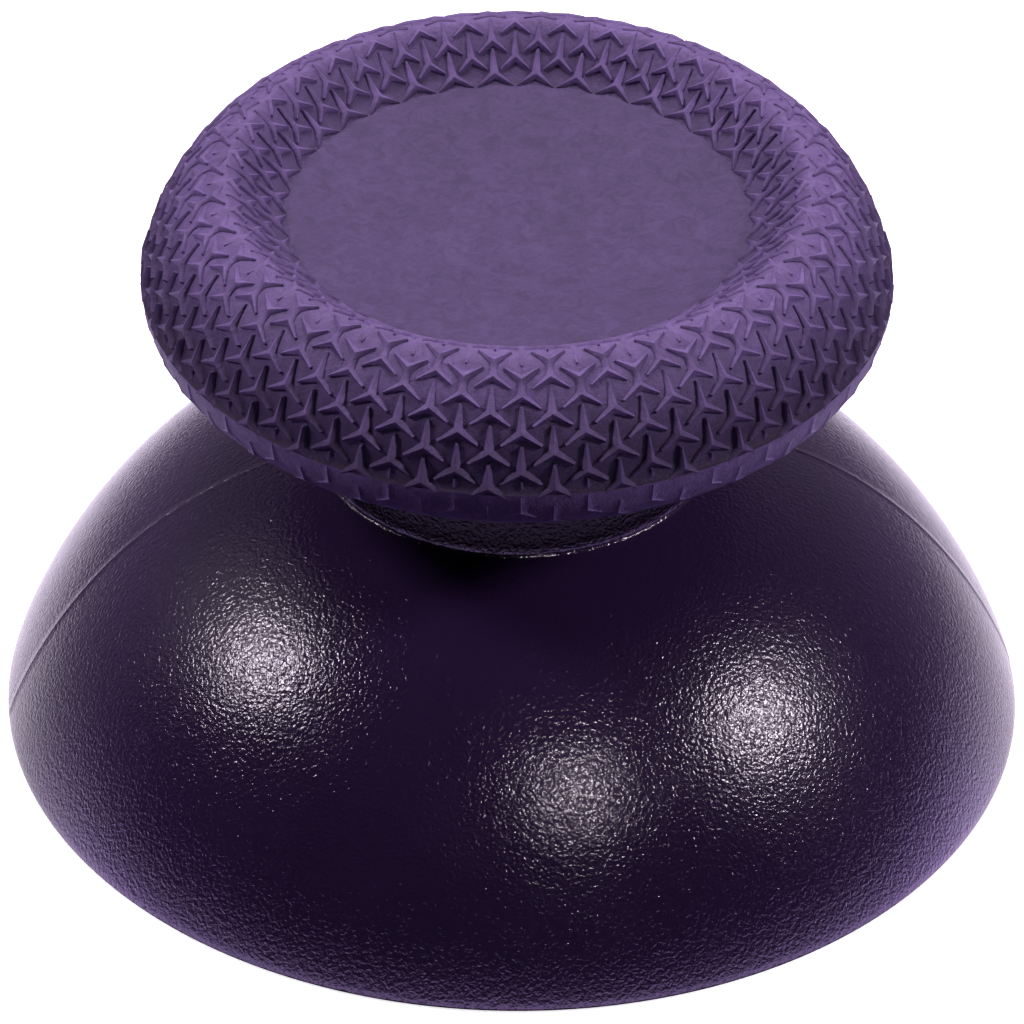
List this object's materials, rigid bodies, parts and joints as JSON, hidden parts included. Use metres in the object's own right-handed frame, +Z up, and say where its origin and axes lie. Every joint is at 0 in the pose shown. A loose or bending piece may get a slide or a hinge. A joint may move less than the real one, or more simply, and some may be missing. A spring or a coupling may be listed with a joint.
{
  "type": "thumbstick cap",
  "caption": "Round thumbstick cap: hollow domed skirt, short neck, keyed socket below, and a soft star-textured grip ring round a shallow dish.",
  "frame": {"origin": "centre of the dome's rim plane, under the middle of the grip", "axes": "+Z up along the stick's axis through the grip, X in the plane in which the dome's mould halves meet"},
  "size_m": [0.025, 0.025, 0.0154],
  "materials": {
    "hard_plastic": "satin, fine moulded grain",
    "soft_grip": "matt, soft touch"
  },
  "bodies": {
    "root": {"dome_base": "hard_plastic", "grip_cap": "soft_grip"}
  },
  "joints": []
}
